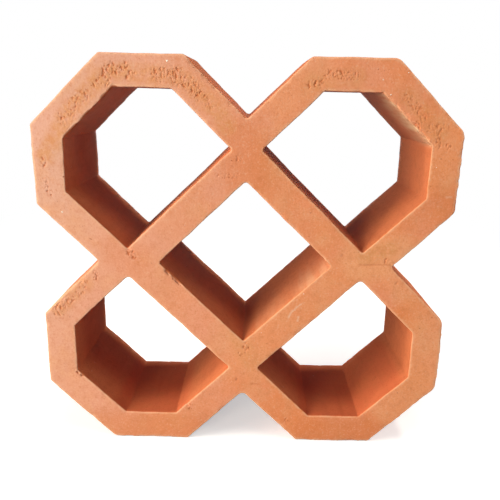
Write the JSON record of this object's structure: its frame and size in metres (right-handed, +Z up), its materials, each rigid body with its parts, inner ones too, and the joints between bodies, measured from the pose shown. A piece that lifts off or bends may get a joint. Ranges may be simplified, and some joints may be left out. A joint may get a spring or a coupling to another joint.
{
  "type": "lattice screen block",
  "caption": "Pierced screen block of unglazed fired clay, with cornered ring cells round a middle diamond cell and a V notch in each side.",
  "frame": {"origin": "middle of the base, on the floor that the block stands on", "axes": "+X across the width, +Y through the depth from the front face to the back, +Z up"},
  "size_m": [0.203, 0.06, 0.197],
  "materials": {
    "terracotta": "matte, unglazed"
  },
  "bodies": {
    "root": {"lattice_block": "terracotta"}
  },
  "joints": []
}
